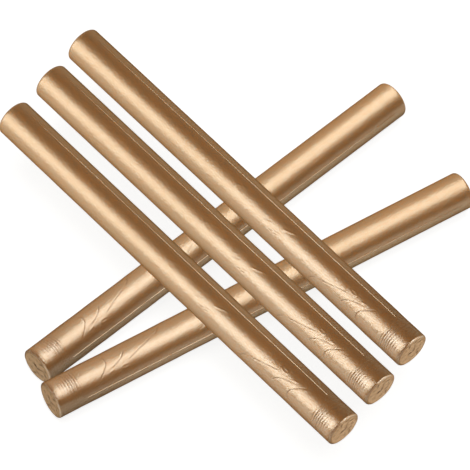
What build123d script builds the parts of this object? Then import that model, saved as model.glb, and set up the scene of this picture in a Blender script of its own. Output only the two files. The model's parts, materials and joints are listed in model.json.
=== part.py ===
"""Five round sealing wax sticks, as fed into a wax gun, in a loose pile: three lie across two."""

import os
from math import cos, radians, sin

from build123d import *

# One stick: a solid casting of wax with a plain nose and a flat gate end, in millimetres
STICK_DIAMETER = 11.0
STICK_LENGTH = 135.0
NOSE_ROUND = 1.0  # soft edge of the end that goes into the gun first
GATE_ROUND = 0.4  # crisper edge of the end where the wax ran into the mould

# Shrink rings beside the gate end, each one a shallow groove
RING_COUNT = 8
RING_SETBACK = 1.0  # plain rim between the gate face and the first groove
RING_WIDTH = 0.4
RING_LAND = 0.4
RING_DEPTH = 0.06

# Parting lines: two fine ridges on opposite sides, where the mould halves met
PARTING_WIDTH = 0.25
PARTING_HEIGHT = 0.06
PARTING_ROOT = 0.3  # how far the ridge is sunk into the stick
PARTING_NOSE_GAP = 5.0
PARTING_RING_GAP = 1.3

# The dished mark that the broken gate leaves on the end face
GATE_MARK_DIAMETER = 1.8
GATE_MARK_DEPTH = 0.15
GATE_MARK_OFFSET = 1.5

# How the pile lies. A heading points from a stick's nose to its gate end, in degrees from +X
LAY_GAP = 0.1  # clearance where two sticks touch
LOWER_REAR_HEADING = -133.4
LOWER_OPENING = 10.6  # the two lower sticks spread from their touching gate ends
LOWER_STAGGER = 2.4  # the front gate end lies this much further out than the rear one
UPPER_HEADING = -43.6
UPPER_CROSSING = 6.9  # the middle upper stick crosses this far from the rear stick's middle
UPPER_LEFT_SPACE = 5.0
UPPER_RIGHT_SPACE = 4.0
# How far each upper stick's middle lies past the rear stick, on the side of the front one
UPPER_LEFT_LEAD = 6.8
UPPER_MIDDLE_LEAD = 4.3
UPPER_RIGHT_LEAD = 1.0
# How far each stick is rolled, from the top to its parting line
LOWER_REAR_PARTING_TURN = 67.5
LOWER_FRONT_PARTING_TURN = 71.0
UPPER_PARTING_TURN = 18.5

radius = STICK_DIAMETER / 2
ring_pitch = RING_WIDTH + RING_LAND
ring_zone = RING_SETBACK + RING_COUNT * ring_pitch
ring_circle = (RING_WIDTH**2 / 4 + RING_DEPTH**2) / (2 * RING_DEPTH)
parting_length = STICK_LENGTH - PARTING_NOSE_GAP - ring_zone - PARTING_RING_GAP
gate_mark_sphere = (GATE_MARK_DIAMETER**2 / 4 + GATE_MARK_DEPTH**2) / (2 * GATE_MARK_DEPTH)


def heading_vector(heading):
    """The level direction of a heading."""
    return Vector(cos(radians(heading)), sin(radians(heading)), 0)


def left_of(direction):
    """The level direction a quarter turn to the left."""
    return Vector(-direction.Y, direction.X, 0)


def reach(direction, way):
    """How far a stick that lies along direction reaches from its middle, one way."""
    along = direction.dot(way)
    across = abs(left_of(direction).dot(way))
    rounding = GATE_ROUND if along > 0 else NOSE_ROUND
    return (STICK_LENGTH / 2 - rounding) * abs(along) + (radius - rounding) * across + rounding


# The two lower sticks: the rear one's gate edge touches the front one's side
rear_way = heading_vector(LOWER_REAR_HEADING)
front_way = heading_vector(LOWER_REAR_HEADING - LOWER_OPENING)
rear_middle = Vector(0, 0, radius)
rear_gate = rear_middle + rear_way * (STICK_LENGTH / 2)
touch_distance = radius * (1 + cos(radians(LOWER_OPENING))) + LAY_GAP
front_gate = rear_gate + left_of(front_way) * touch_distance + front_way * LOWER_STAGGER
front_middle = front_gate - front_way * (STICK_LENGTH / 2)

# The three upper sticks: parallel, one diameter and a gap above the lower ones
upper_way = heading_vector(UPPER_HEADING)
upper_rise = Vector(0, 0, STICK_DIAMETER + LAY_GAP)
crossing_slant = abs(sin(radians(UPPER_HEADING - LOWER_REAR_HEADING)))
left_crossing = UPPER_CROSSING + (STICK_DIAMETER + UPPER_LEFT_SPACE) / crossing_slant
right_crossing = UPPER_CROSSING - (STICK_DIAMETER + UPPER_RIGHT_SPACE) / crossing_slant


def upper_middle(crossing, lead):
    """The middle of an upper stick, from where it crosses the rear stick."""
    return rear_middle + rear_way * crossing + upper_way * lead + upper_rise


# Each stick's name, middle, direction and roll
pile = [
    ("lower_rear_stick", rear_middle, rear_way, LOWER_REAR_PARTING_TURN),
    ("lower_front_stick", front_middle, front_way, LOWER_FRONT_PARTING_TURN),
    ("upper_left_stick", upper_middle(left_crossing, UPPER_LEFT_LEAD), upper_way, UPPER_PARTING_TURN),
    ("upper_middle_stick", upper_middle(UPPER_CROSSING, UPPER_MIDDLE_LEAD), upper_way, UPPER_PARTING_TURN),
    ("upper_right_stick", upper_middle(right_crossing, UPPER_RIGHT_LEAD), upper_way, UPPER_PARTING_TURN),
]


def furthest(way):
    """How far the whole pile reaches, one way."""
    return max(middle.dot(way) + reach(direction, way) for name, middle, direction, turn in pile)


# The pile's origin is the middle of its box, on the table
right, back = Vector(1, 0, 0), Vector(0, 1, 0)
pile_centre = (right * (furthest(right) - furthest(-right)) + back * (furthest(back) - furthest(-back))) / 2


def make_stick(name, middle, direction, parting_turn):
    """One wax stick, laid in its place in the pile."""
    lay = Plane(origin=middle, x_dir=direction, z_dir=(0, 0, 1))
    ridge_start = Plane(
        origin=lay.from_local_coords((PARTING_NOSE_GAP - STICK_LENGTH / 2, 0, 0)),
        x_dir=lay.y_dir,
        z_dir=lay.x_dir,
    )
    gate_mark = (STICK_LENGTH / 2 + gate_mark_sphere - GATE_MARK_DEPTH, 0, GATE_MARK_OFFSET)
    first_ring = STICK_LENGTH / 2 - RING_SETBACK - ring_pitch / 2
    ring_height = radius + ring_circle - RING_DEPTH

    with BuildPart() as stick:
        # The round body, from half of its lengthwise section
        with BuildSketch(lay):
            Rectangle(STICK_LENGTH, radius, align=(Align.CENTER, Align.MIN))
            corners = vertices().group_by(Axis.Y)[-1].sort_by(Axis.X)
            fillet(corners[0], NOSE_ROUND)
            fillet(corners[-1], GATE_ROUND)
            with Locations(*[(first_ring - ring * ring_pitch, ring_height) for ring in range(RING_COUNT)]):
                Circle(ring_circle, mode=Mode.SUBTRACT)
        revolve(axis=Axis(lay.origin, lay.x_dir))
        # The two parting ridges
        with BuildSketch(ridge_start):
            with PolarLocations(radius + (PARTING_HEIGHT - PARTING_ROOT) / 2, 2, 90 - parting_turn):
                Rectangle(PARTING_HEIGHT + PARTING_ROOT, PARTING_WIDTH)
        extrude(amount=parting_length)
        # The gate's mark
        with Locations(lay.from_local_coords(gate_mark)):
            Sphere(gate_mark_sphere, mode=Mode.SUBTRACT)

    stick.part.label = name
    export_step(stick.part, f"parts/{name}.step")
    print(name, "middle", tuple(middle), "way", tuple(direction))


os.makedirs("parts", exist_ok=True)
for stick_name, stick_middle, stick_way, stick_turn in pile:
    make_stick(stick_name, stick_middle - pile_centre, stick_way, stick_turn)
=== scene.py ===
# %% [markdown]
# # Gold sealing wax sticks
# Five round sticks of the wax that a wax gun melts for sealing letters. Three of them lie across the
# other two. Each one is a single casting of brown wax with fine gold mica stirred in. All five come out
# of the same mould, so this lesson models one stick with every mark of its casting, and then lays five
# copies where the frame says.

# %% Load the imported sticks
import json
import math

import bmesh
import bpy
import numpy as np
from mathutils import Matrix, Vector, kdtree

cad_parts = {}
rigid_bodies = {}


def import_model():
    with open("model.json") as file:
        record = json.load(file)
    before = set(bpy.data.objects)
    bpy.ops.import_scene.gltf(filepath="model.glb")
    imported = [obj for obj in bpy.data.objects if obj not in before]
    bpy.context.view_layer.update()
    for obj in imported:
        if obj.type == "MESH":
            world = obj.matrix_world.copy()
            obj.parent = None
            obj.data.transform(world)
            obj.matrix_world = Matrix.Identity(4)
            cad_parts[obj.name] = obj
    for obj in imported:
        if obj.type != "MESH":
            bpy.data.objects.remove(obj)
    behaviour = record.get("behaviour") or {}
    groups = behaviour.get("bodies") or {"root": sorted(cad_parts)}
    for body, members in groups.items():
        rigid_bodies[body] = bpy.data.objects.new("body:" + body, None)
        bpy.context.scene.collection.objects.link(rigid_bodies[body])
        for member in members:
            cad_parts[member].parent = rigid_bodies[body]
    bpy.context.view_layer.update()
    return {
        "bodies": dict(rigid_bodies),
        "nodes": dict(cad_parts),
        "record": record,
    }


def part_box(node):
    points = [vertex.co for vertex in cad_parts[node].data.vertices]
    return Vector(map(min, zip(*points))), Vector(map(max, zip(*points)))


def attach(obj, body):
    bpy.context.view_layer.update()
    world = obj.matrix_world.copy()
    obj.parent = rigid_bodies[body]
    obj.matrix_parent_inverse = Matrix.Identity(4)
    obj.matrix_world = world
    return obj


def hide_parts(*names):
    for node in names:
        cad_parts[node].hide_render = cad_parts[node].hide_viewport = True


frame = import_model()
MM = 0.001

# %% [markdown]
# A stick's place is already settled in the frame, so nothing is typed in again here. The mount on the
# plain end, the nose, gives its centre and its outward direction, and the solid's own points give the
# length and the radius. The mould left a thin ridge on two opposite sides of the solid. The points that
# stand out furthest show how the stick is rolled.

# %% Measure where each stick lies
BODIES = list(frame["bodies"])
UP = Vector((0, 0, 1))
RIDGE_SIGN = 0.03 * MM


def measure_stick(body):
    """Nose centre, way from nose to gate, length, radius, and roll of the upper ridge from the top."""
    mount = next(m for m in frame["record"]["mounts"] if m["name"] == body + "_nose_face")
    nose = Vector(mount["pos_m"])
    way = -Vector(mount["axis"]).normalized()
    left = UP.cross(way)
    low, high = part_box(body + "_stick")
    radius = (high.z - low.z) / 2
    points = [v.co - nose for v in frame["nodes"][body + "_stick"].data.vertices]
    length = max(p.dot(way) for p in points)
    ridge = [p for p in points if math.hypot(p.dot(left), p.z) > radius + RIDGE_SIGN and p.z > 0]
    rolls = [math.atan2(p.dot(left), p.z) for p in ridge]
    return {"nose": nose, "way": way, "length": length, "radius": radius, "roll": sum(rolls) / len(rolls)}


places = {body: measure_stick(body) for body in BODIES}
for body, place in places.items():
    nose_mm = [round(c / MM, 2) for c in place["nose"]]
    print(body, "nose", nose_mm, "roll", round(math.degrees(place["roll"]), 1))
LENGTH = places["upper_middle"]["length"]
RADIUS = places["upper_middle"]["radius"]
print("one stick is", round(LENGTH / MM, 2), "mm long and", round(2 * RADIUS / MM, 2), "mm across")

# %% [markdown]
# ## The blank
# The casting starts as a plain round bar. It could be spun from a profile, but an open tube from one
# primitive keeps every row and column of faces in hand. The bar lies along X with its nose at zero, and
# its top is +Z. It is thinner than the solid by a hair, so that every raised mark stays inside the
# solid's box.

# %% Open tube
COLUMNS = 192
RELIEF_ROOM = 0.07 * MM
BAR_RADIUS = RADIUS - RELIEF_ROOM

bpy.ops.object.select_all(action="DESELECT")
bpy.ops.mesh.primitive_cylinder_add(
    vertices=COLUMNS, radius=BAR_RADIUS, depth=LENGTH, end_fill_type="NOTHING",
    location=(LENGTH / 2, 0, 0), rotation=(0, math.pi / 2, 0))
bpy.ops.object.transform_apply(location=True, rotation=True, scale=True)
stick = bpy.context.object
stick.name = "wax_stick"
print("open tube with", len(stick.data.polygons), "faces")

# %% [markdown]
# The two mould halves meet on the top and bottom lines of the bar. The ridge there is about a fifth of
# a millimetre wide, hardly more than one column of the tube. More columns all around would cost too
# many faces. Bisecting the tube a few times beside its middle plane gives narrower ones to both lines
# at once.

# %% Narrow columns along the parting lines
PARTING_CUTS = (-0.1 * MM, -0.05 * MM, 0.05 * MM, 0.1 * MM)
NEAR = 0.001 * MM

bpy.ops.object.mode_set(mode="EDIT")
for offset in PARTING_CUTS:
    bpy.ops.mesh.select_all(action="SELECT")
    bpy.ops.mesh.bisect(plane_co=(0, offset, 0), plane_no=(0, 1, 0), threshold=NEAR)
bpy.ops.object.mode_set(mode="OBJECT")
print("tube now has", len(stick.data.polygons), "columns")

# %% [markdown]
# The ends are closed with one face each. Their rims could be part of a spun profile, but a bevel rounds
# them from just a width and a number of steps. The nose came out of the bottom of the mould and has a
# soft edge of about a millimetre. The gate end was cut off level, so its edge is tighter.

# %% Close the ends and round the rims
NOSE_ROUND = 1.0 * MM
GATE_ROUND = 0.6 * MM
NOSE_STEPS = 8
GATE_STEPS = 5


def pick(kind, wanted):
    """Edit mode with only the edges or faces selected that the test accepts."""
    bpy.ops.object.mode_set(mode="EDIT")
    bpy.ops.mesh.select_mode(type=kind)
    bpy.ops.mesh.select_all(action="DESELECT")
    edited = bmesh.from_edit_mesh(stick.data)
    for element in edited.edges if kind == "EDGE" else edited.faces:
        if wanted(element):
            element.select_set(True)
    bmesh.update_edit_mesh(stick.data)


def on_rim(edge, x):
    return all(abs(v.co.x - x) < NEAR for v in edge.verts)


for x, size, steps in ((0, NOSE_ROUND, NOSE_STEPS), (LENGTH, GATE_ROUND, GATE_STEPS)):
    pick("EDGE", lambda edge: on_rim(edge, x))
    bpy.ops.mesh.edge_face_add()
    pick("EDGE", lambda edge: on_rim(edge, x))
    bpy.ops.mesh.bevel(offset=size, offset_type="OFFSET", segments=steps, affect="EDGES")
bpy.ops.object.mode_set(mode="OBJECT")
print("closed bar with", len(stick.data.polygons), "faces")

# %% [markdown]
# Each end face is still one large polygon. Extruding it in place and shrinking the new face towards the
# axis, again and again, lays rings of faces over it, and the last ring is merged into one point. The
# gate face gets more rings, because the wax sank unevenly there when it set.

# %% Rings of faces on the two ends
NOSE_FACE_RINGS = 6
GATE_FACE_RINGS = 20


def ring_face(x, rim_round, rings):
    """Divides the end face at x into concentric rings around a middle point."""
    pick("FACE", lambda face: len(face.verts) >= COLUMNS and abs(face.calc_center_median().x - x) < NEAR)
    radius = BAR_RADIUS - rim_round
    step = radius / (rings + 1)
    for _ in range(rings):
        share = (radius - step) / radius
        radius -= step
        bpy.ops.mesh.extrude_region_move()
        bpy.ops.transform.resize(value=(1, share, share), center_override=(x, 0, 0))
    bpy.ops.mesh.merge(type="CENTER")
    bpy.ops.object.mode_set(mode="OBJECT")


ring_face(0, NOSE_ROUND, NOSE_FACE_RINGS)
ring_face(LENGTH, GATE_ROUND, GATE_FACE_RINGS)
print("with end rings", len(stick.data.polygons), "faces")

# %% [markdown]
# The casting marks need rows of faces as fine as themselves, but rows that fine along the whole bar
# would be far too many. Bisect cuts the bar into zones, and each zone's lengthwise edges are subdivided
# as its marks need. The shrink rings beside the gate are the finest, and the plain half near the nose
# has the widest rows.

# %% Rows of faces, zone by zone
ZONES = (
    (NOSE_ROUND, 62.0 * MM, 1.0 * MM),
    (62.0 * MM, 78.0 * MM, 0.3 * MM),
    (78.0 * MM, 90.0 * MM, 0.24 * MM),
    (90.0 * MM, 98.0 * MM, 0.6 * MM),
    (98.0 * MM, 112.5 * MM, 0.19 * MM),
    (112.5 * MM, 124.6 * MM, 0.17 * MM),
    (124.6 * MM, 126.9 * MM, 0.12 * MM),
    (126.9 * MM, LENGTH - GATE_ROUND, 0.085 * MM),
)


def lengthwise(edge, start, end):
    a, b = (v.co.x for v in edge.verts)
    return abs(b - a) > NEAR and min(a, b) > start - NEAR and max(a, b) < end + NEAR


bpy.ops.object.mode_set(mode="EDIT")
for start, _, _ in ZONES[1:]:
    bpy.ops.mesh.select_all(action="SELECT")
    bpy.ops.mesh.bisect(plane_co=(start, 0, 0), plane_no=(1, 0, 0))
for start, end, spacing in ZONES:
    pick("EDGE", lambda edge: lengthwise(edge, start, end))
    bpy.ops.mesh.subdivide(number_cuts=round((end - start) / spacing) - 1)
bpy.ops.object.mode_set(mode="OBJECT")
print("bar with", sum(len(p.vertices) - 2 for p in stick.data.polygons), "triangles")

# %% [markdown]
# ## The marks of casting
# Every mark is a slight rise or hollow in the skin. To say where one lies, each point of the bar gets
# its distance from the nose in millimetres and its degrees around from the upper parting line. They are
# read once from the smooth bar, so that one mark doesn't shift the next.

# %% Places on the skin
count = len(stick.data.vertices)
points = np.empty(count * 3)
stick.data.vertices.foreach_get("co", points)
points = points.reshape(-1, 3)
along = points[:, 0] / MM
around = np.degrees(np.arctan2(points[:, 1], points[:, 2]))
from_axis = np.hypot(points[:, 1], points[:, 2]) / MM
GATE_END = (LENGTH - NEAR) / MM
on_barrel = (along > NEAR / MM) & (along < GATE_END)
MM_PER_DEGREE = math.radians(BAR_RADIUS / MM)
print(int(on_barrel.sum()), "of", count, "points lie between the two end faces")

# %% [markdown]
# Sculpting would press the marks in by hand. Here each mark is a vertex group, whose weights say how
# strongly a point takes part, and a Displace modifier that moves those points out or in along the skin
# and is applied at once. That way a mark is a few numbers that can be read and changed.

# %% A tool for relief
WEAKEST = 0.004


def press(name, weights, height):
    """Moves the skin out by height times each point's weight, or in where height is below zero."""
    group = stick.vertex_groups.new(name=name)
    for index in np.flatnonzero(weights > WEAKEST):
        group.add([int(index)], float(min(weights[index], 1)), "REPLACE")
    push = stick.modifiers.new(name, "DISPLACE")
    push.vertex_group = name
    push.mid_level = 0
    push.strength = height
    bpy.context.view_layer.objects.active = stick
    bpy.ops.object.modifier_apply(modifier=name)
    stick.vertex_groups.clear()
    print(name, "moves", int((weights > WEAKEST).sum()), "points by", round(height / MM, 3), "mm")


def fade(values, start, end):
    """Smooth step from 0 at start to 1 at end."""
    t = np.clip((values - start) / (end - start), 0, 1)
    return t * t * (3 - 2 * t)


print("half way through a fade:", fade(0.5, 0, 1))

# %% [markdown]
# The parting ridge is the thin line of wax that was squeezed between the mould halves. It runs from
# near the nose to just before the shrink rings, and grows a little higher on the way. A strip laid on
# the bar would show a seam, so the skin itself is raised, and a narrow bell curve across the line gives
# the section.

# %% Parting ridges
RIDGE_START, RIDGE_END = 5.0, 126.6
RIDGE_FADE_IN, RIDGE_FADE_OUT = 1.0, 0.6
RIDGE_AT_NOSE, FIRST_GROWTH, LATER_GROWTH = 0.65, 0.2, 0.15
FIRST_GROWTH_END = 24.0
LATER_GROWTH_RUN = (50, 105)
RIDGE_HALF_WIDTH = 0.085
RIDGE_HEIGHT = 0.165 * MM

across_line = (around + 90) % 180 - 90
ridge_share = RIDGE_AT_NOSE + FIRST_GROWTH * fade(along, RIDGE_START, FIRST_GROWTH_END)
ridge_share += LATER_GROWTH * fade(along, *LATER_GROWTH_RUN)
ridge_length = fade(along, RIDGE_START - RIDGE_FADE_IN, RIDGE_START + RIDGE_FADE_IN)
ridge_length *= 1 - fade(along, RIDGE_END - RIDGE_FADE_OUT, RIDGE_END)
bell = np.exp(-(across_line * MM_PER_DEGREE / RIDGE_HALF_WIDTH) ** 2)
ridge = bell * ridge_share * ridge_length * on_barrel
press("parting_ridge", ridge, RIDGE_HEIGHT)

# %% [markdown]
# Beside the gate the wax froze in short steps as the mould filled, which left a stack of fine rings
# around the bar. They are neither quite even nor quite square to the axis, so each ring has its own
# place, depth and slant. They are deepest on two opposite sides of the bar and shallower between them.
# Cutting them with a tool shape would leave hard edges, and a bell curve along the bar gives soft ones.

# %% Shrink rings
RING_PLACES = (127.3, 128.0, 128.7, 129.4, 130.15, 130.95, 131.8, 132.75)
RING_DEPTHS = (0.7, 1.0, 0.8, 1.0, 0.9, 0.7, 0.5, 0.35)
RING_HALF_WIDTH = 0.16
RING_SLANT = 0.03
SLANT_TURN = 97
DEEP_SIDES = (-70, 102)
SIDE_SPREAD = 58
RING_LEAST = 0.45
RING_DEPTH = 0.11 * MM

rings = np.zeros(count)
for number, (ring, depth) in enumerate(zip(RING_PLACES, RING_DEPTHS)):
    slant = RING_SLANT * np.sin(np.radians(around + SLANT_TURN * number))
    rings += depth * np.exp(-((along - ring - slant) / RING_HALF_WIDTH) ** 2)
off_sides = [((around - side + 180) % 360 - 180) / SIDE_SPREAD for side in DEEP_SIDES]
near_sides = np.minimum(sum(np.exp(-off ** 2) for off in off_sides), 1)
rings *= (RING_LEAST + (1 - RING_LEAST) * near_sides) * on_barrel
press("shrink_rings", rings, -RING_DEPTH)

# %% [markdown]
# As the cooling wax was pushed up the mould, its skin folded over itself in tongues. Each fold shows as
# a fine dark line that sweeps across the bar. A drop-shaped outline and two fainter marks lie beside
# the rings, and five short ticks just past half way. A line is written as a few points on the skin:
# millimetres from the nose and degrees around. Such points are easy to move and need no painted mask.

# %% Lines of the flow folds
FOLDS = {
    "great_fold": (
        (122.4, -21.6), (119.6, -44.7), (117.9, -63.9), (117.5, -78.1), (117.6, -87.8), (118.8, -99.5)),
    "middle_fold": ((118.1, -42.1), (115.2, -52.2), (113.4, -61.2), (111.9, -75.1), (111.4, -82.7)),
    "long_fold": (
        (111.9, -44.7), (110.4, -50.9), (108.7, -57.3), (106.2, -66.6), (104.2, -72.2), (102.7, -78.1)),
    "first_fold": ((101.4, -79.6), (100.0, -91.5), (99.1, -104.4)),
    "drop_mark": (
        (126.5, -65.2), (125.5, -78.1), (125.5, -91.5), (126.2, -93.4), (126.6, -81.2), (126.5, -65.2)),
    "ring_arc": ((127.7, -45.9), (128.1, -58.6), (128.0, -69.3), (127.4, -91.5)),
    "ring_tick": ((127.3, -43.4), (126.8, -50.9)),
}
TICKS = {
    "tick_one": ((79.1, -49.7), (80.3, -48.9), (81.3, -44.7)),
    "tick_two": ((78.6, -56.5), (79.4, -53.9), (80.2, -53.5)),
    "tick_three": ((81.6, -69.9), (82.6, -67.9), (83.0, -66.1)),
    "tick_four": ((83.0, -61.6), (84.2, -60.6), (85.2, -58.1)),
    "tick_five": ((83.4, -71.4), (84.0, -68.5), (84.8, -67.3)),
}
print(len(FOLDS), "folds and", len(TICKS), "ticks are drawn on the skin")

# %% [markdown]
# A smooth line through those points is a row of cubic pieces, the same idea as a curve object's. The
# side of the bar that faces away gets the same lines, turned and shifted, so that it isn't blank.

# %% Smooth lines on the skin
LINE_STEPS = 40
FAR_SIDE_TURN = 172.0
FAR_SIDE_SHIFT = -2.5


def smooth_line(corners):
    """Points of a smooth line through the corners, in millimetres along and millimetres around."""
    knots = np.array([(s, degrees * MM_PER_DEGREE) for s, degrees in corners])
    padded = np.vstack([2 * knots[0] - knots[1], knots, 2 * knots[-1] - knots[-2]])
    line = []
    for p0, p1, p2, p3 in zip(padded, padded[1:], padded[2:], padded[3:]):
        for t in np.linspace(0, 1, LINE_STEPS, endpoint=False):
            bend = 2 * p0 - 5 * p1 + 4 * p2 - p3
            swing = 3 * (p1 - p2) + p3 - p0
            line.append(0.5 * (2 * p1 + (p2 - p0) * t + bend * t ** 2 + swing * t ** 3))
    return np.array(line + [knots[-1]])


def both_sides(corners):
    """The corners of a line, and those of its repeat on the far side."""
    return corners, [(s + FAR_SIDE_SHIFT, degrees + FAR_SIDE_TURN) for s, degrees in corners]


print("the great fold is drawn with", len(smooth_line(FOLDS["great_fold"])), "points")

# %% [markdown]
# The distance of each skin point to a line gives the weights of a mark: full on the line and less and
# less beside it. Measuring to every point of the line would be slow, so a kd-tree finds the nearest
# one.

# %% Weights beside a line
REACH = 3
END_TAPER = 0.15


def arcs_beside(line):
    """Millimetres around the bar of every skin point, counted from the line's own stretch of the skin."""
    turn = MM_PER_DEGREE * 360
    middle = line[:, 1].mean()
    return (around * MM_PER_DEGREE - middle + turn / 2) % turn - turn / 2 + middle


def near_line(corners, half_width, taper=END_TAPER):
    """Bell-shaped weight across a line on the skin, which thins out towards both its ends."""
    line = smooth_line(corners)
    tree = kdtree.KDTree(len(line))
    for index, (s, arc) in enumerate(line):
        tree.insert((s, arc, 0), index)
    tree.balance()
    arcs = arcs_beside(line)
    low = line.min(axis=0) - REACH * half_width
    high = line.max(axis=0) + REACH * half_width
    close = on_barrel & (along > low[0]) & (along < high[0]) & (arcs > low[1]) & (arcs < high[1])
    weights = np.zeros(count)
    for index in np.flatnonzero(close):
        _, nearest, distance = tree.find((along[index], arcs[index], 0))
        place = nearest / (len(line) - 1)
        end_share = min(1, min(place, 1 - place) / taper) if taper else 1
        weights[index] = end_share * math.exp(-(distance / half_width) ** 2)
    return weights


print("the weights of a line reach", REACH, "half widths to either side")

# %% [markdown]
# A crease is a fine groove along its line. A bump in the material could fake one, but a real groove is
# part of the exported shape. The folds are pressed in fully, the marks beside the rings and the ticks
# more faintly. The drop-shaped outline is closed, so it alone doesn't thin out at its ends.

# %% Creases
CREASE_HALF_WIDTH = 0.135
CREASE_DEPTH = 0.075 * MM
TICK_STRENGTH = 0.75
STRENGTHS = {"drop_mark": 0.35, "ring_arc": 0.5, "ring_tick": 0.4, **dict.fromkeys(TICKS, TICK_STRENGTH)}

creases = np.zeros(count)
for name, corners in {**FOLDS, **TICKS}.items():
    taper = 0 if name == "drop_mark" else END_TAPER
    for side in both_sides(corners):
        weights = near_line(side, CREASE_HALF_WIDTH, taper)
        creases = np.maximum(creases, STRENGTHS.get(name, 1) * weights)
press("fold_creases", creases, -CREASE_DEPTH)

# %% [markdown]
# The tongue of wax behind each long crease stands a little proud of the skin in front of it, and sinks
# back over a few millimetres. That soft swelling is what makes the highlight jump as it crosses a fold.

# %% Lips of the flow folds
LIP_FOLDS = ("great_fold", "middle_fold", "long_fold", "first_fold")
LIP_RUN = 2.2
LIP_EDGE = 0.2
LIP_FADE_IN, LIP_FADE_OUT = 1.0, 1.5
LIP_HEIGHT = 0.03 * MM


def behind_line(corners):
    """Weight of the skin on a crease's gate side: full beside it, then fading out in all directions."""
    line = smooth_line(corners)
    order = np.argsort(line[:, 1])
    arcs = arcs_beside(line)
    edge = np.interp(arcs, line[order, 1], line[order, 0])
    low, high = line[:, 1].min(), line[:, 1].max()
    inside = fade(arcs, low, low + LIP_FADE_IN) * (1 - fade(arcs, high - LIP_FADE_OUT, high))
    behind = along - edge
    return inside * fade(behind, 0, LIP_EDGE) * np.exp(-np.maximum(behind, 0) / LIP_RUN) * on_barrel


lips = np.zeros(count)
for name in LIP_FOLDS:
    for side in both_sides(FOLDS[name]):
        lips = np.maximum(lips, behind_line(side))
press("fold_lips", lips, LIP_HEIGHT)

# %% [markdown]
# Half way along, where two flows met, the skin rose in a faint wave like an arrow head and in a short
# line. Near the folds there are a small closed curl and a stub. They are raised lines, made with the
# same tool as the creases and pushed out instead of in.

# %% Raised lines
RAISED_LINES = {
    "arrow_wave": (
        (74.4, -14.6), (70.5, -21.6), (67.5, -28.2), (66.0, -35.9), (67.2, -45.9), (71.1, -52.2)),
    "short_line": ((84.8, -42.1), (89.5, -25.6)),
    "curl": (
        (111.4, -30.7), (112.0, -37.5), (113.2, -40.0), (114.2, -36.0), (113.4, -31.0), (111.4, -30.7)),
    "stub": ((118.1, -35.9), (116.4, -40.9)),
}
RAISED_SHARES = {"arrow_wave": 0.45}
WRINKLE_HALF_WIDTH = 0.24
WRINKLE_HEIGHT = 0.07 * MM

wrinkles = np.zeros(count)
for name, corners in RAISED_LINES.items():
    for side in both_sides(corners):
        weights = near_line(side, WRINKLE_HALF_WIDTH)
        wrinkles = np.maximum(wrinkles, RAISED_SHARES.get(name, 1) * weights)
press("flow_wrinkles", wrinkles, WRINKLE_HEIGHT)

# %% [markdown]
# A few beads of wax stand on the skin, where bubbles or splashes set. Small spheres would look stuck
# on, so each bead is a round swelling of the skin itself.

# %% Beads
BEADS = ((122.2, -19.8), (114.8, -25.6), (126.2, -24.3), (91.7, -76.6))
BEAD_HALF_WIDTH = 0.34
BEAD_HEIGHT = 0.045 * MM

beads = np.zeros(count)
for bead_along, bead_around in BEADS:
    off = np.hypot(along - bead_along, (around - bead_around) * MM_PER_DEGREE)
    beads = np.maximum(beads, np.exp(-(off / BEAD_HALF_WIDTH) ** 2) * on_barrel)
press("wax_beads", beads, BEAD_HEIGHT)

# %% [markdown]
# The gate face is where the wax was poured and cut off. It sank a little as it set, in soft swells all
# over and in broken ripples over one half. Sine waves that bend and break one another keep the ripples
# from looking ruled. All of them run at a slant over the face, and fade out before its rim.

# %% Waves on the gate face
FACE_SLACK = 0.01
FLAT_RADIUS = 3.6
HEADING_UP, HEADING_SIDE = 0.66, 0.75
RIPPLE_PACE = 2.7
RIPPLED_HALF = (-1.2, 1.0)
BENDS = ((1.5, 1.9, 0.8), (0.9, 0.7, 0.0))
BREAK_MEAN, BREAK_SWING, BREAK_WAVE = 0.6, 0.4, (2.3, -1.9, 0.5)
SWELL_WAVES = ((1.7, 0.0, 0.4), (0.9, 2.1, 0.0))
SINK, SWELL_SHARE, RIPPLE_SHARE = 0.5, 0.2, 0.3
FACE_WAVE = 0.22 * MM

face_share = 1 - fade(from_axis, FLAT_RADIUS, (BAR_RADIUS - GATE_ROUND) / MM)
on_gate_face = (along > GATE_END - FACE_SLACK) * face_share
side, up = points[:, 1] / MM, points[:, 2] / MM
across = HEADING_UP * up - HEADING_SIDE * side
along_face = HEADING_SIDE * up + HEADING_UP * side


def wave(per_along, per_across, start=0.0):
    """A sine over the face, in radians per millimetre along and across the ripples."""
    return np.sin(per_along * along_face + per_across * across + start)


bends = sum(strength * wave(per_along, per_across) for strength, per_along, per_across in BENDS)
breaks = BREAK_MEAN + BREAK_SWING * wave(*BREAK_WAVE)
ripples = np.sin(RIPPLE_PACE * across + bends) * breaks * fade(along_face, *RIPPLED_HALF)
swells = wave(*SWELL_WAVES[0]) * wave(*SWELL_WAVES[1])
press("gate_waves", (SINK + SWELL_SHARE * swells + RIPPLE_SHARE * ripples) * on_gate_face, -FACE_WAVE)

# %% [markdown]
# Off the middle of the face is a narrow pit, where the last of the wax drew in, and a crumb of wax
# stands beside it. Both belong to the casting, so they are pressed like the other marks and aren't
# separate objects. Each is a soft oval spot along the ripples.

# %% Pit and crumb
PIT, PIT_SIZE, PIT_DEPTH = (-0.5, -0.3), (0.5, 1.2), 0.3 * MM
CRUMB, CRUMB_SIZE, CRUMB_HEIGHT = (0.1, 0.3), (0.5, 0.6), 0.3 * MM


def oval(centre, size):
    off = ((across - centre[0]) / size[0]) ** 2 + ((along_face - centre[1]) / size[1]) ** 2
    return np.exp(-off) * on_gate_face


pit = oval(PIT, PIT_SIZE)
crumb = oval(CRUMB, CRUMB_SIZE)
press("gate_pit", pit, -PIT_DEPTH)
press("gate_crumb", crumb, CRUMB_HEIGHT)

# %% [markdown]
# No casting is perfectly round. A few gentle waves along and around the bar bend the highlight a
# little, more towards the gate where the flows met. They only hollow the skin, so the bar keeps inside
# its box.

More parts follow.
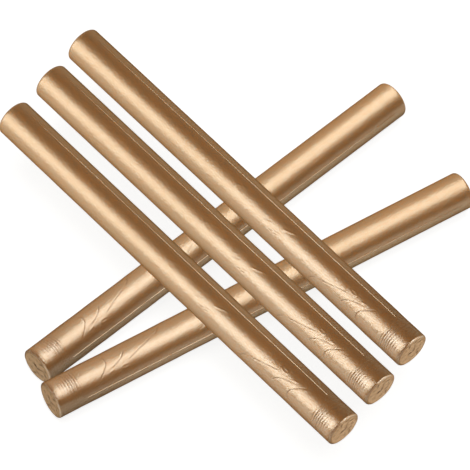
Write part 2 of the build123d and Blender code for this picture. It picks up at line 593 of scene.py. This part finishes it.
# %% Gentle unevenness
UNEVEN_WAVES = ((0.14, 1.9, 4, 0.0), (0.12, 2.6, -5, 1.3), (0.12, 1.3, 6, 0.4))
SWAY, SWAY_LENGTH, SWAY_TURN = 0.12, 5.1, 2
UNEVEN_MEAN = 0.5
UNEVEN_AT_NOSE = 0.35
UNEVEN_RUN = (45, 105)
UNEVEN_DEPTH = 0.07 * MM

turns = np.radians(around)
uneven = UNEVEN_MEAN + SWAY * np.sin(along / SWAY_LENGTH + SWAY_TURN * np.sin(turns))
for share, length, times_around, start in UNEVEN_WAVES:
    uneven += share * np.sin(along / length + times_around * turns + start)
toward_gate = UNEVEN_AT_NOSE + (1 - UNEVEN_AT_NOSE) * fade(along, *UNEVEN_RUN)
press("unevenness", uneven * toward_gate * on_barrel, -UNEVEN_DEPTH)

# %% [markdown]
# The finish isn't the same all over, and the marks above say where it changes. The cut face, its rim
# band, and a painted glint on the rim's upper part are found by their place. The two sides with the
# deepest rings, where the highlight falls, are smoother and carry a painted sheen. Between them lies
# painted shade, a darker brown, most of all towards the gate.

# %% Zones of the skin
EDGE_SLACK = 0.05
FACE_EDGE = (4.5, 4.85)
GLINT_ALONG, GLINT_START, GLINT_END = (134.6, 134.9), (-45, -20), (60, 90)
RIM_ALONG = (133.5, 134.2)
RING_ZONE_START, RING_ZONE_END = (126.4, 128.2), (133.0, 133.6)
FLANK_SHADE_AT_NOSE, FLANK_SHADE_GAIN, FLANK_SHADE_RUN = 0.18, 0.32, (88, 128)

face = (along > GATE_END - EDGE_SLACK) * (1 - fade(from_axis, *FACE_EDGE))
# Painted glint: the upper part of the gate rim, made paler and smoother in the material.
rim_glint = fade(along, *GLINT_ALONG) * fade(around, *GLINT_START) * (1 - fade(around, *GLINT_END)) * (1 - face)
# The rim band before the face, which gets painted shade.
rim = fade(along, *RIM_ALONG) * (1 - face) * (1 - rim_glint)
# The sides where the highlight falls: smoother skin with a painted sheen.
smooth_sheen_sides = near_sides ** 2 * on_barrel
ring_zone = fade(along, *RING_ZONE_START) * (1 - fade(along, *RING_ZONE_END)) * smooth_sheen_sides
# Painted shade on the flanks away from the highlight, darker towards the gate.
flank_shade = (FLANK_SHADE_AT_NOSE + FLANK_SHADE_GAIN * fade(along, *FLANK_SHADE_RUN)) * (1 - near_sides ** 2) * on_barrel
flank_shade *= (1 - face) * (1 - rim_glint) * (1 - ridge)
print("cut face of", int((face > 0.5).sum()), "points, burr of", int((rim_glint > 0.5).sum()))

# %% [markdown]
# Attributes carry these zones to the material, one number per point. Painted images would need a UV
# map, and attributes don't. The first is painted shade, as fewer flakes and darker wax: in creases,
# pit and rings, on the rim band, in the hollows of the face's ripples and on the flanks away from the
# highlight. The second says how smooth the skin is and lightens its mica: a little towards the gate,
# and as painted sheen on the sides where the highlight falls, the rings there, the crumb, the ridge,
# the rim glint and the crests of the face's ripples. `cut` is the cut face. `skin_place` keeps each
# point's place on the bar, so that patterns follow the stick however it lies.

# %% Attributes for the material
PAINTED_SHADE = {"creases": 0.6, "pit": 0.9, "rings": 0.5, "rim": 0.4, "face_hollow_shade": 0.52}
POLISH_AND_SHEEN = {"barrel": 0.15, "sides": 0.3, "rings": 0.9, "ridge": 0.4, "crest_sheen": 0.65}
DRAWN_RUN = (50, 100)
FACE_SHADE_RIPPLES, FACE_SHADE_SWELLS, CREST_SHEEN_RIPPLES = (2.0, 0.4), (1.2, 0.5), (-1.3, 0.3)


def ramp(values, gain, loss):
    """The values times a gain, less a loss, kept between 0 and 1."""
    return np.clip(gain * values - loss, 0, 1)


def keep_weights(name, weights):
    """Stores one number per point under a name that the material can read."""
    kept = stick.data.attributes.new(name, "FLOAT", "POINT")
    kept.data.foreach_set("value", np.clip(weights, 0, 1).astype(np.float32))
    print(name, "marks", int((weights > 0.5).sum()), "points")


# Painted shade in the hollows of the face's ripples and swells.
face_hollow_shade = PAINTED_SHADE["face_hollow_shade"] * np.maximum(ramp(ripples, *FACE_SHADE_RIPPLES), ramp(swells, *FACE_SHADE_SWELLS)) * face
# Painted sheen on the crests of the face's ripples.
crest_sheen = POLISH_AND_SHEEN["crest_sheen"] * ramp(ripples, *CREST_SHEEN_RIPPLES) * face
# Smoother, paler mica towards the gate, with painted sheen on the sides where the highlight falls.
drawn = fade(along, *DRAWN_RUN) * (POLISH_AND_SHEEN["barrel"] * on_barrel + POLISH_AND_SHEEN["sides"] * smooth_sheen_sides)
# Painted shade in the creases, the pit and the ring grooves, and on the rim band.
painted_shade_marks = [PAINTED_SHADE["creases"] * creases, PAINTED_SHADE["pit"] * pit, PAINTED_SHADE["rings"] * rings, PAINTED_SHADE["rim"] * rim]
# Smoother skin with painted sheen on the rings, the crumb, the rim glint and the ridge.
smooth_marks = [drawn, POLISH_AND_SHEEN["rings"] * ring_zone, crumb, rim_glint, POLISH_AND_SHEEN["ridge"] * ridge]
keep_weights("painted_shade", np.maximum.reduce([*painted_shade_marks, face_hollow_shade, flank_shade]))
keep_weights("polish_and_sheen", np.maximum.reduce([*smooth_marks, crest_sheen]))
keep_weights("cut", face)
skin_place = stick.data.attributes.new("skin_place", "FLOAT_VECTOR", "POINT")
skin_place.data.foreach_set("vector", points.astype(np.float32).ravel())

# %% [markdown]
# The skin is shaded smooth, so that its small faces don't show. Only an edge that bends by more than
# the set angle would stay sharp. The rims are rounded by bevels, which bend a little at each step.

# %% Smooth shading
SMOOTH_BELOW = math.radians(70)

bpy.ops.object.select_all(action="DESELECT")
stick.select_set(True)
bpy.ops.object.shade_smooth_by_angle(angle=SMOOTH_BELOW)
print("stick finished:", len(stick.data.vertices), "points")

# %% [markdown]
# ## The finish
# The wax is brown and satin, and the gold comes from mica flakes no larger than a fiftieth of a
# millimetre. One even colour would look like paint. So a node group scatters flakes over the skin as a
# mask: between them the wax scatters light, and on them it is mirrored in gold. A Voronoi texture gives
# every flake its own cell and a random colour, and that colour picks which cells are flakes and how
# each one lies.

# %% Mica flake group
FLAKE_INPUTS = {"Place": "NodeSocketVector", "Scale": "NodeSocketFloat", "Share": "NodeSocketFloat"}


def feed(node, inputs):
    """Gives each named input of a node a value, or a link where the value is another node's socket."""
    for name, value in inputs.items():
        if isinstance(value, bpy.types.NodeSocket):
            node.id_data.links.new(value, node.inputs[name])
        else:
            node.inputs[name].default_value = value


def add(tree, kind, inputs, **settings):
    """A new shader node of this kind, with these settings and inputs."""
    node = tree.nodes.new("ShaderNode" + kind)
    for name, value in settings.items():
        setattr(node, name, value)
    feed(node, inputs)
    return node


flakes = bpy.data.node_groups.new("MicaFlakes", "ShaderNodeTree")
for name, kind in FLAKE_INPUTS.items():
    flakes.interface.new_socket(name, in_out="INPUT", socket_type=kind)
for name in ("Mask", "Shade"):
    flakes.interface.new_socket(name, in_out="OUTPUT", socket_type="NodeSocketFloat")
given = flakes.nodes.new("NodeGroupInput").outputs
cells = add(flakes, "TexVoronoi", {"Vector": given["Place"], "Scale": given["Scale"]}, feature="F1")
shades = add(flakes, "SeparateColor", {"Color": cells.outputs["Color"]})
chosen = add(flakes, "Math", {0: shades.outputs["Red"], 1: given["Share"]}, operation="LESS_THAN")
flakes_out = flakes.nodes.new("NodeGroupOutput")
feed(flakes_out, {"Mask": chosen.outputs["Value"], "Shade": shades.outputs["Green"]})
print("group", flakes.name, "with", len(flakes.nodes), "nodes")

# %% [markdown]
# Two patterns vary the skin. The flow of the wax drew the mica out into faint streaks along the bar,
# which is noise stretched along the stick. A second, fine noise is the satin grain of the skin. Both
# read the skin's own coordinates. A few small helpers keep the node code short enough to read.

# %% Wax material with its streaks and grain
STREAK_SCALE = (90, 900, 900)
STREAK_DETAIL = 3
GRAIN_SCALE = (1700, 1100, 1100)
GRAIN_DETAIL = 2

gold_wax = bpy.data.materials.new("gold_wax")
gold_wax.use_nodes = True
wax_tree = gold_wax.node_tree
wax = wax_tree.nodes["Principled BSDF"]


def attribute(name, output="Fac"):
    return add(wax_tree, "Attribute", {}, attribute_name=name).outputs[output]


def noise(scale, detail):
    """Noise over the skin, with a scale of its own along, beside and above the bar."""
    stretched = add(wax_tree, "Mapping", {"Vector": place_on_skin, "Scale": scale})
    pattern = {"Vector": stretched.outputs["Vector"], "Scale": 1, "Detail": detail}
    return add(wax_tree, "TexNoise", pattern).outputs["Fac"]


place_on_skin = attribute("skin_place", "Vector")
streaks = noise(STREAK_SCALE, STREAK_DETAIL)
grain = noise(GRAIN_SCALE, GRAIN_DETAIL)
painted_shade, polish_and_sheen, cut = attribute("painted_shade"), attribute("polish_and_sheen"), attribute("cut")
print("streaks and grain are", len(wax_tree.nodes), "nodes so far")

# %% [markdown]
# On plain skin about three quarters is flake. The streaks change that by a few percent, and the grain
# gathers the flakes in small patches. Under painted shade and on the cut face there are fewer. The
# result goes into the flake group as its share.

# %% Share of mica
FLAKE_SIZE = 0.02 * MM
FLAKE_SHARE = 0.75
STREAK_SHARE = 0.02
STREAK_SPAN = (0.3, 0.7)
GRAIN_SHARE = 0.3
PAINTED_SHADE_LOSS = -0.7
CUT_LOSS = -0.3


def remap(value, ends, span=(0, 1)):
    """Turns a value that runs over the span into one that runs between the two ends."""
    runs = {"From Min": span[0], "From Max": span[1], "To Min": ends[0], "To Max": ends[1]}
    return add(wax_tree, "MapRange", {"Value": value, **runs}).outputs["Result"]


def times_plus(value, factor, added):
    terms = {0: value, 1: factor, 2: added}
    return add(wax_tree, "Math", terms, operation="MULTIPLY_ADD").outputs["Value"]


least = FLAKE_SHARE - STREAK_SHARE - GRAIN_SHARE / 2
most = FLAKE_SHARE + STREAK_SHARE - GRAIN_SHARE / 2
share = times_plus(grain, GRAIN_SHARE, remap(streaks, (least, most), STREAK_SPAN))
# Painted shade takes flakes away, which darkens it.
share = times_plus(painted_shade, PAINTED_SHADE_LOSS, share)
share = times_plus(cut, CUT_LOSS, share)
mica = wax_tree.nodes.new("ShaderNodeGroup")
mica.node_tree = flakes
feed(mica, {"Place": place_on_skin, "Scale": 1 / FLAKE_SIZE, "Share": share})
print("flakes of", FLAKE_SIZE / MM, "mm cover about", FLAKE_SHARE, "of plain skin")

# %% [markdown]
# Between the flakes the wax is brown, a little deeper in the streaks, paler where it was cut, and
# almost black under painted shade. Half of the flakes lie level with the skin: these are pale, and
# paler still where the skin is smoother or has painted sheen. The others lie askew and look golden.
# The flake mask chooses between wax and mica, and makes the mica metallic.

# %% Colours
WAX_BROWN = (0.64, 0.2, 0.024, 1)
WAX_DEEP = (0.555, 0.17, 0.019, 1)
# Almost black wax for painted shade.
WAX_PAINTED_SHADE = (0.06, 0.025, 0.008, 1)
WAX_CUT = (0.77, 0.46, 0.25, 1)
MICA_ASKEW = (0.43, 0.31, 0.15, 1)
MICA_LEVEL = (0.455, 0.39, 0.3, 1)
# Pale mica for smoother skin and painted sheen.
MICA_PALE_SHEEN = (0.6, 0.57, 0.5, 1)
PAINTED_SHADE_FULL = 0.65
LEVEL_SHARE = 0.5


def blend(factor, first, second):
    colours = {"Factor": factor, "A": first, "B": second}
    return add(wax_tree, "Mix", colours, data_type="RGBA").outputs["Result"]


brown = blend(streaks, WAX_BROWN, WAX_DEEP)
fresh = blend(cut, brown, WAX_CUT)
# Painted shade turns the wax almost black.
between = blend(remap(painted_shade, (0, 1), (0, PAINTED_SHADE_FULL)), fresh, WAX_PAINTED_SHADE)
level_test = {0: mica.outputs["Shade"], 1: LEVEL_SHARE}
lies_level = add(wax_tree, "Math", level_test, operation="LESS_THAN").outputs["Value"]
# Painted sheen: the level flakes turn paler where the smoothness attribute is high.
gold = blend(lies_level, MICA_ASKEW, blend(polish_and_sheen, MICA_LEVEL, MICA_PALE_SHEEN))
mask = mica.outputs["Mask"]
feed(wax, {"Base Color": blend(mask, between, gold), "Metallic": mask})
print("colours bring the material to", len(wax_tree.nodes), "nodes")

# %% [markdown]
# Flakes that lie askew scatter the light widely, and level ones less, least of all on polished skin. So
# roughness follows the same masks. The grain is a bump, which blurs the edge of the highlight. The bare
# wax has no gloss of its own, so the shader's specular level is zero, and its tint darkens the mica
# where the skin is seen at a glancing angle.

# %% Gloss and grain
ASKEW_ROUGHNESS = 0.55
GLOSS_DRIFT = 0.02
LEVEL_GAIN = -0.21
POLISH_GAIN = -0.045
GRAIN_STRENGTH = 1.0
GRAIN_HEIGHT = 0.07 * MM
EDGE_TINT = (0.02, 0.015, 0.01, 1)

askew_gloss = remap(grain, (ASKEW_ROUGHNESS - GLOSS_DRIFT, ASKEW_ROUGHNESS + GLOSS_DRIFT))
smoother = remap(polish_and_sheen, (LEVEL_GAIN, LEVEL_GAIN + POLISH_GAIN))
bumps = {"Height": grain, "Strength": GRAIN_STRENGTH, "Distance": GRAIN_HEIGHT}
feed(wax, {"Roughness": times_plus(lies_level, smoother, askew_gloss)})
feed(wax, {"Normal": add(wax_tree, "Bump", bumps).outputs["Normal"]})
feed(wax, {"Specular IOR Level": 0.0, "Specular Tint": EDGE_TINT})
stick.data.materials.append(gold_wax)
print("material", gold_wax.name, "with", len(wax_tree.nodes), "nodes")

# %% [markdown]
# ## Five sticks
# The finished stick is copied with its own mesh for each body. A copy is rolled about its axis until
# its parting ridge meets the solid's, turned to its way and moved to its nose. Applying the transform
# leaves the object at the origin with its place in the mesh, as the solids are. Each stick of the
# photograph is lit as if it were alone, so a copy's ray visibility hides it from the others'
# reflections and bounced light. The first stick has done its work and is removed.

# %% Lay the five copies
for body, place in places.items():
    bpy.ops.object.select_all(action="DESELECT")
    stick.select_set(True)
    bpy.context.view_layer.objects.active = stick
    bpy.ops.object.duplicate(linked=False)
    copy = bpy.context.object
    copy.name = body + "_wax"
    copy.data.name = copy.name
    heading = math.atan2(place["way"].y, place["way"].x)
    roll = Matrix.Rotation(-place["roll"], 4, "X")
    turn = Matrix.Rotation(heading, 4, "Z")
    copy.matrix_world = Matrix.Translation(place["nose"]) @ turn @ roll
    bpy.ops.object.transform_apply(location=True, rotation=True, scale=True)
    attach(copy, body)
    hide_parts(body + "_stick")
    copy.visible_glossy = False
    copy.visible_diffuse = False
    print(copy.name, "rides on", body)
bpy.data.objects.remove(stick)

# %% [markdown]
# ## The studio
# The camera looks down at the sticks from the front, turned a few degrees about its own axis, as in the
# photograph. A long lens from further away keeps the edges of a stick almost parallel.

# %% Camera
ELEVATION = math.radians(57.03)
TILT = math.radians(4.485)
CAMERA_DISTANCE = 1.5
AIM = Vector((0.00111, 0.00545, 0.008))
LENS = 414.72
SENSOR = 36
CLIP_START = 0.01

back = Vector((0, -math.cos(ELEVATION), math.sin(ELEVATION)))
level = Vector((1, 0, 0))
upright = back.cross(level)
right = level * math.cos(TILT) + upright * math.sin(TILT)
upward = upright * math.cos(TILT) - level * math.sin(TILT)
eye = AIM + back * CAMERA_DISTANCE
lens = bpy.data.cameras.new("camera")
lens.lens = LENS
lens.sensor_width = SENSOR
lens.clip_start = CLIP_START
camera = bpy.data.objects.new("camera", lens)
camera.matrix_world = Matrix.Translation(eye) @ Matrix((right, upward, back)).transposed().to_4x4()
bpy.context.scene.collection.objects.link(camera)
bpy.context.scene.camera = camera
bpy.context.scene.view_settings.view_transform = "Standard"
print("camera at", [round(c, 3) for c in eye])

# %% [markdown]
# The sticks lie on a plain pale floor that reaches far past the view, so the background is the floor
# itself. Some light of its own, seen by the camera and in reflections, lifts it to white and leaves the
# soft shadow on it.

# %% Floor
FLOOR_SIZE = 8.0
FLOOR_COLOUR = (0.9, 0.9, 0.9, 1)
FLOOR_ROUGHNESS = 0.9
FLOOR_LIFT = 0.76
WHITE = (1, 1, 1, 1)

bpy.ops.object.select_all(action="DESELECT")
bpy.ops.mesh.primitive_plane_add(size=FLOOR_SIZE, location=(0, 0, 0))
floor = bpy.context.object
floor.name = "floor"
pale = bpy.data.materials.new("pale_floor")
pale.use_nodes = True
path = add(pale.node_tree, "LightPath", {}).outputs
rays = {0: path["Is Camera Ray"], 1: path["Is Glossy Ray"]}
seen = add(pale.node_tree, "Math", rays, operation="MAXIMUM").outputs["Value"]
rays = {0: seen, 1: path["Is Transmission Ray"]}
seen = add(pale.node_tree, "Math", rays, operation="MAXIMUM").outputs["Value"]
lift = add(pale.node_tree, "Math", {0: seen, 1: FLOOR_LIFT}, operation="MULTIPLY").outputs["Value"]
matt = pale.node_tree.nodes["Principled BSDF"]
feed(matt, {"Base Color": FLOOR_COLOUR, "Roughness": FLOOR_ROUGHNESS, "Specular IOR Level": 0.0})
feed(matt, {"Emission Color": WHITE, "Emission Strength": lift})
floor.data.materials.append(pale)
print("floor", FLOOR_SIZE, "m wide")

# %% [markdown]
# In the photograph every stick has the same broad highlight along it, whichever way it lies. One
# softbox can't do that for sticks that cross at right angles, so each stick has its own lights. A
# softbox is an area light, and light linking makes it light one object only and lets no neighbour shade
# it.

# %% Softbox tool
LAMP_DISTANCE = 0.6


def alone(name, lit):
    """A collection of one object, for light linking."""
    collection = bpy.data.collections.new(name)
    collection.objects.link(lit)
    return collection


def softbox(name, lit, target, to_lamp, distance, size, radiance, run):
    """An area light that shines on one object from a distance, with its long side along run."""
    light = bpy.data.lights.new(name, "AREA")
    light.shape = "RECTANGLE"
    light.size, light.size_y = size
    light.energy = radiance * math.pi * size[0] * size[1]
    lamp = bpy.data.objects.new(name, light)
    long_side = (run - to_lamp * run.dot(to_lamp)).normalized()
    axes = Matrix((long_side, to_lamp.cross(long_side), to_lamp)).transposed()
    lamp.matrix_world = Matrix.Translation(target + to_lamp * distance) @ axes.to_4x4()
    bpy.context.scene.collection.objects.link(lamp)
    lamp.light_linking.receiver_collection = alone(name + "_lights", lit)
    if lit != floor:
        lamp.light_linking.blocker_collection = alone(name + "_shades", lit)
    print(name, "gives", round(light.energy, 2), "W to", lit.name)


def hang_on_stick(kind, body, to_lamp, size, radiance, run):
    middle = places[body]["nose"] + places[body]["way"] * LENGTH / 2
    lit = bpy.data.objects[body + "_wax"]
    softbox(body + "_" + kind, lit, middle, to_lamp, LAMP_DISTANCE, size, radiance, run)


print("softboxes hang", LAMP_DISTANCE, "m from their stick")

# %% [markdown]
# The main light of a stick is a long strip, hung where a chosen line of its skin mirrors it into the
# lens. Seen with the gate end nearest, that line lies a little to the left of the stick's middle. The
# strip is turned across the stick, so the highlight drifts to the right towards the gate, as in the
# photograph.

# %% Key lights
UPPER_KEY_PLACE, LOWER_KEY_PLACE = -0.235, -0.2
KEY_SIZE = (1.06, 0.49)
KEY_TURN = math.radians(32)
KEY_RADIANCE = 3.3


def seen_side(way):
    """The way that a stick's visible side faces, and the way to its right with the gate end nearest."""
    facing = (back - way * back.dot(way)).normalized()
    return facing, facing.cross(way)


def mirrored(way, share):
    """What the skin mirrors into the lens, at a share of the radius to the right of the middle."""
    facing, aside = seen_side(way)
    normal = facing * math.sqrt(1 - share * share) + aside * share
    return 2 * normal.dot(back) * normal - back


def hang_key(body, key_place):
    way = places[body]["way"]
    run = way * math.cos(KEY_TURN) + seen_side(way)[1] * math.sin(KEY_TURN)
    hang_on_stick("key", body, mirrored(way, key_place), KEY_SIZE, KEY_RADIANCE, run)


print("key strips measure", KEY_SIZE[0], "by", KEY_SIZE[1], "m")

# %% [markdown]
# The upper sticks get a second, square light from the right, which draws a bright line on the parting
# ridge and the gate rim. The lower sticks get a weak fill further to the left, and a low light for the
# gate face, which their key hardly reaches.

# %% Rim, fill and face lights
RIM_TIP = math.radians(61)
RIM_CLOCK = math.radians(-7)
RIM_SIZE = (0.5, 0.5)
RIM_RADIANCE = 3.4
FILL_PLACE = -0.55
FILL_SIZE = (0.9, 0.45)
FILL_RADIANCE = 0.4
FACE_LIGHT_RISE = math.radians(18)
FACE_LIGHT_SIZE = (0.5, 0.32)
FACE_LIGHT_RADIANCE = 2.6


def hang_rim(body):
    """A light tipped away from the camera, to the side of the picture that the clock angle gives."""
    aside = right * math.cos(RIM_CLOCK) + upward * math.sin(RIM_CLOCK)
    to_lamp = back * math.cos(RIM_TIP) + aside * math.sin(RIM_TIP)
    hang_on_stick("rim", body, to_lamp, RIM_SIZE, RIM_RADIANCE, places[body]["way"])


def hang_fill(body):
    way = places[body]["way"]
    hang_on_stick("fill", body, mirrored(way, FILL_PLACE), FILL_SIZE, FILL_RADIANCE, way)


def hang_face_light(body):
    way = places[body]["way"]
    to_lamp = way * math.cos(FACE_LIGHT_RISE) + UP * math.sin(FACE_LIGHT_RISE)
    hang_on_stick("face_light", body, to_lamp, FACE_LIGHT_SIZE, FACE_LIGHT_RADIANCE, way.cross(UP))


print("rim light", RIM_RADIANCE, "fill", FILL_RADIANCE, "face light", FACE_LIGHT_RADIANCE)

# %% [markdown]
# Now the lights are hung, stick by stick. The last one is a wide softbox high above, for the floor
# alone. The sticks stand in its way, and that is the soft shadow.

# %% Hang the softboxes
FLOOR_LAMP_HEIGHT = 2.0
FLOOR_LAMP_SIZE = (2.4, 2.4)
FLOOR_LAMP_RADIANCE = 0.95

for body in places:
    if body.startswith("lower"):
        hang_key(body, LOWER_KEY_PLACE)
        hang_fill(body)
        hang_face_light(body)
    else:
        hang_key(body, UPPER_KEY_PLACE)
        hang_rim(body)
origin = Vector((0, 0, 0))
softbox("floor_light", floor, origin, UP, FLOOR_LAMP_HEIGHT, FLOOR_LAMP_SIZE, FLOOR_LAMP_RADIANCE, level)

# %% [markdown]
# Around the softboxes the studio is dark, with a pale wall low down behind the sticks. The dark keeps
# the right flank of each stick brown, and the wall gives its outer edge a faint sheen. Both are a
# gradient in the world.

# %% Surround
SURROUND_DARK = 0.03
BACK_WALL = 0.9
SURROUND_COLOUR = (1, 0.92, 0.78, 1)

world = bpy.data.worlds.new("studio")
world.use_nodes = True
studio = world.node_tree
direction = add(studio, "TexCoord", {}).outputs["Generated"]
axes = add(studio, "SeparateXYZ", {"Vector": direction}).outputs
behind = add(studio, "Clamp", {"Value": axes["Y"]}).outputs["Result"]
low_down = add(studio, "Math", {0: 1, 1: axes["Z"]}, operation="SUBTRACT").outputs["Value"]
wall = add(studio, "Math", {0: behind, 1: low_down}, operation="MULTIPLY").outputs["Value"]
strength = {0: wall, 1: BACK_WALL, 2: SURROUND_DARK}
surround = add(studio, "Math", strength, operation="MULTIPLY_ADD").outputs["Value"]
feed(studio.nodes["Background"], {"Color": SURROUND_COLOUR, "Strength": surround})
bpy.context.scene.world = world
print("surround from", SURROUND_DARK, "to", SURROUND_DARK + BACK_WALL)
